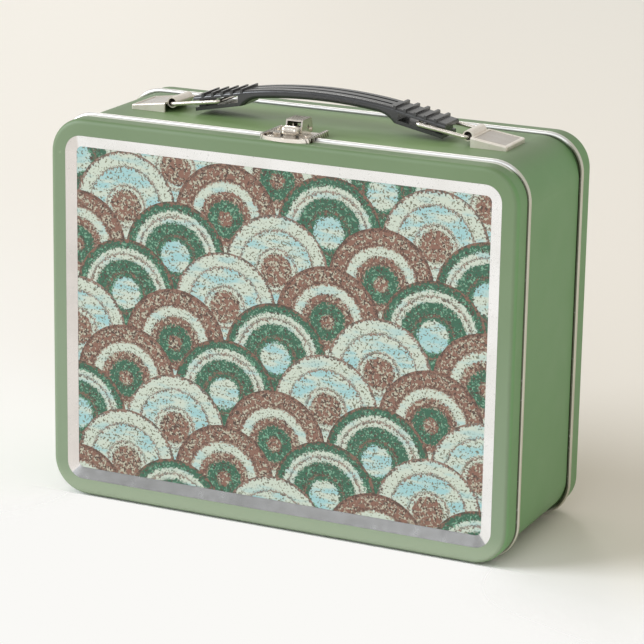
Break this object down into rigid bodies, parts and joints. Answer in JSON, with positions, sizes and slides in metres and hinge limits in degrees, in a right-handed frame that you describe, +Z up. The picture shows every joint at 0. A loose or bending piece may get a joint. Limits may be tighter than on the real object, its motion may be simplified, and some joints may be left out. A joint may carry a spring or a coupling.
{
  "type": "lunch box",
  "caption": "Upright tinplate lunch box with a bottom-hinged front lid, a wrap-around band between beaded edges, a snap latch on top and a low ribbed grip on lifting wire loops.",
  "frame": {"origin": "on the floor under the middle of the case, level with the bottoms of the two edge beads it stands on", "axes": "+Z up, +X along the width to the right seen from the front, +Y from the lid to the back"},
  "size_m": [0.2156, 0.0834, 0.1833],
  "materials": {
    "sage_paint": "satin sage green paint on tinplate",
    "tinplate": "bare semi-matte tinplate",
    "printed_sheet": "printed sheet with a stippled pattern",
    "nickel": "warm nickel plate",
    "black_plastic": "moulded black plastic, slightly glossy"
  },
  "bodies": {
    "case": {"center_band": "sage_paint", "front_bead": "tinplate", "rear_bead": "tinplate", "back_pan": "sage_paint", "hinge_wire": "tinplate", "latch_base": "nickel", "base_rivets": "nickel", "latch_pin": "nickel", "bracket_left": "nickel", "bracket_right": "nickel"},
    "lid": {"lid_pan": "sage_paint", "panel_bezel": "tinplate", "printed_panel": "printed_sheet", "hinge_leaf_left": "tinplate", "hinge_leaf_right": "tinplate", "latch_keeper": "nickel", "keeper_rivets": "nickel"},
    "hasp": {"latch_hasp": "nickel"},
    "grip": {"handle_grip": "black_plastic"},
    "loop_left": {"handle_loop_left": "nickel"},
    "loop_right": {"handle_loop_right": "nickel"}
  },
  "joints": [
    {"name": "lid_hinge", "type": "hinge", "parent": "case", "child": "lid", "pos_m": [0, -0.03055, 0.0012], "axis": [1, 0, 0], "range_deg": [0, 110]},
    {"name": "hasp_hinge", "type": "hinge", "parent": "case", "child": "hasp", "pos_m": [0.0019, -0.0204, 0.1706], "axis": [-1, 0, 0], "range_deg": [0, 105]},
    {"name": "handle_lift", "type": "slide", "parent": "case", "child": "grip", "axis": [0, 0, 1], "range_m": [0, 0.0142]},
    {"name": "loop_left_swing", "type": "hinge", "parent": "case", "child": "loop_left", "pos_m": [-0.0665, 0, 0.17159], "axis": [0, -1, 0], "range_deg": [0, 37]},
    {"name": "loop_right_swing", "type": "hinge", "parent": "case", "child": "loop_right", "pos_m": [0.0703, 0, 0.17159], "axis": [0, 1, 0], "range_deg": [0, 37]}
  ],
  "couplings": [
    {"joint": "loop_left_swing", "follows": "handle_lift", "rad_per_m": 45},
    {"joint": "loop_right_swing", "follows": "handle_lift", "rad_per_m": 45}
  ]
}
